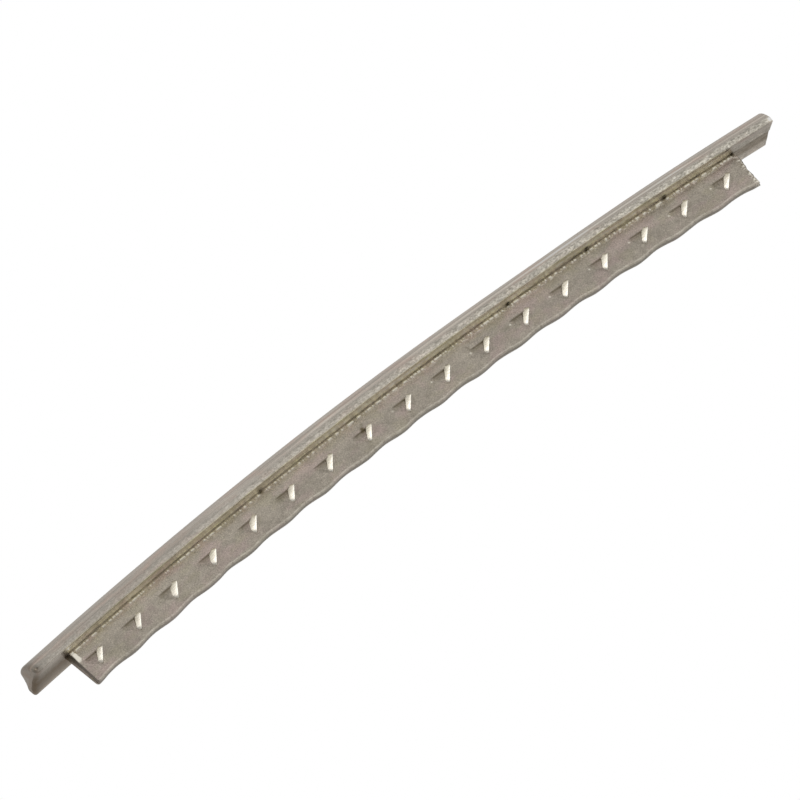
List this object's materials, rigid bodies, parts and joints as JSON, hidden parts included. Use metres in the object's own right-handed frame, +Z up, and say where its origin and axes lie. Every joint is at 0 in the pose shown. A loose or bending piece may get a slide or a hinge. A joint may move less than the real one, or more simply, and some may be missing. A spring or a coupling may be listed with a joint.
{
  "type": "guitar fret",
  "caption": "Bent length of fret wire: a domed crown over a thin barbed tang with a scalloped lower edge, the crown overhanging the tang at both ends.",
  "frame": {"origin": "mid-length of the fret, in the tang's middle plane, on the crown's underside, which lands on the fingerboard", "axes": "+X along the fret, +Y across it, +Z up through the crown, away from the fingerboard; -Y is the face of the tang that the source picture shows"},
  "size_m": [0.0494, 0.0026, 0.004],
  "materials": {
    "crown": "drawn nickel silver, satin, with fine lines along its length",
    "tang": "rolled nickel silver, dull, with roll marks",
    "barbs": "freshly cut nickel silver, bright"
  },
  "bodies": {
    "root": {"crown": "crown", "tang": "tang", "front_barbs": "barbs", "back_barbs": "barbs"}
  },
  "joints": []
}
